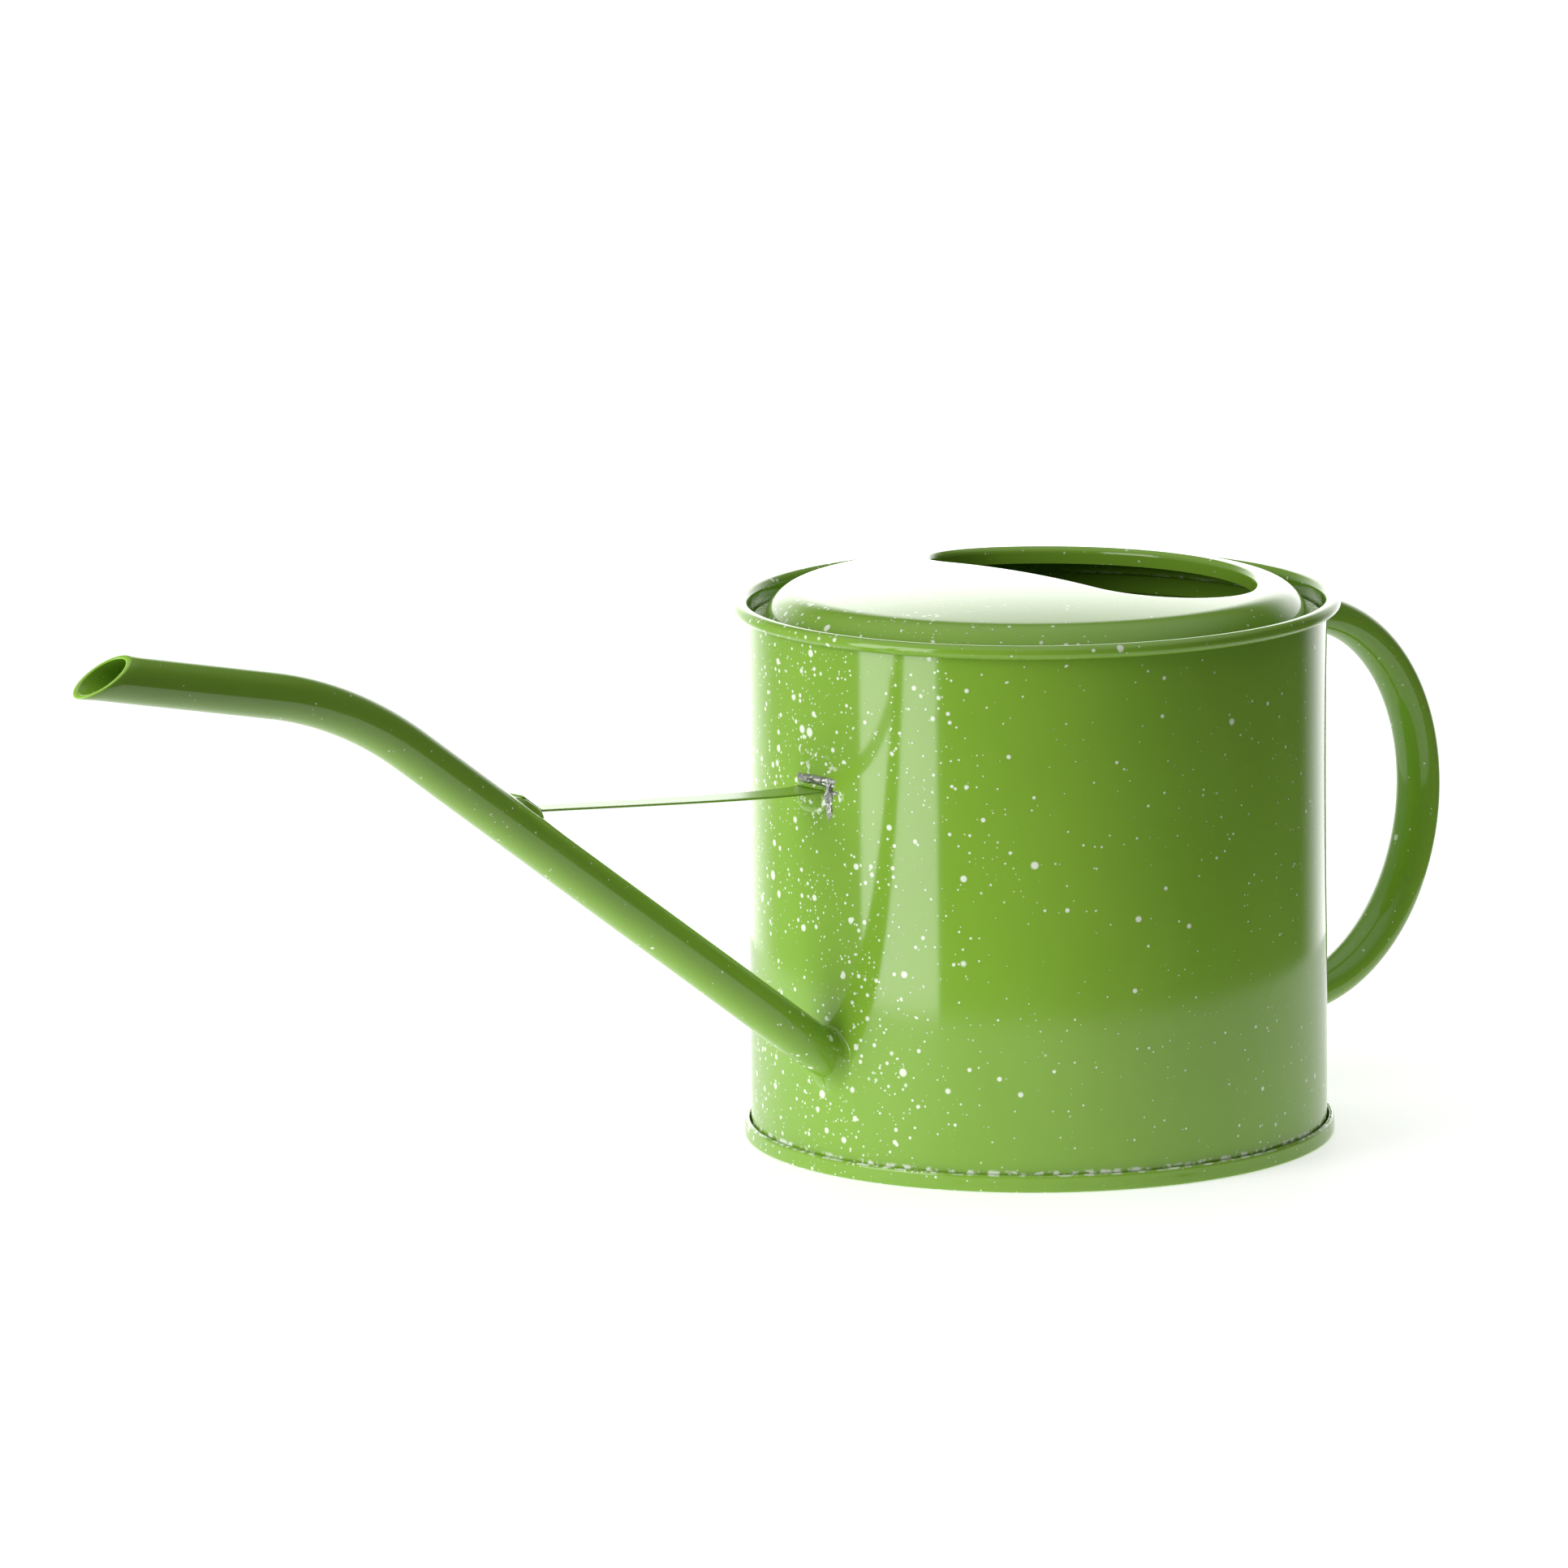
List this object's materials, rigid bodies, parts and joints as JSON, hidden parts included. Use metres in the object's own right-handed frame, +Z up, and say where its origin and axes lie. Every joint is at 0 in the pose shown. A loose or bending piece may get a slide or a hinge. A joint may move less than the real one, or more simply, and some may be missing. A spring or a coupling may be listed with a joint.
{
  "type": "watering can",
  "caption": "Indoor watering can of painted sheet steel: round body, domed cover with a half-moon filling mouth, long bent spout on a flat stay, and a loop handle.",
  "frame": {"origin": "middle of the base plate's underside, on the table, under the axis of the body", "axes": "+Z up along the body's axis, -X towards the spout's mouth, +X towards the handle, the spout and handle lying in the plane y = 0"},
  "size_m": [0.4057, 0.1362, 0.1417],
  "materials": {
    "speckled_green_paint": "glossy leaf-green paint with white speckles on sheet steel",
    "bare_solder": "dull rough bare solder"
  },
  "bodies": {
    "root": {"body_wall": "speckled_green_paint", "base_plate": "speckled_green_paint", "top_cover": "speckled_green_paint", "spout_tube": "speckled_green_paint", "spout_root_solder": "speckled_green_paint", "stay_strap": "speckled_green_paint", "stay_spout_solder": "speckled_green_paint", "stay_wall_solder": "bare_solder", "handle_tube": "speckled_green_paint", "handle_top_weld": "speckled_green_paint", "handle_bottom_weld": "speckled_green_paint"}
  },
  "joints": []
}
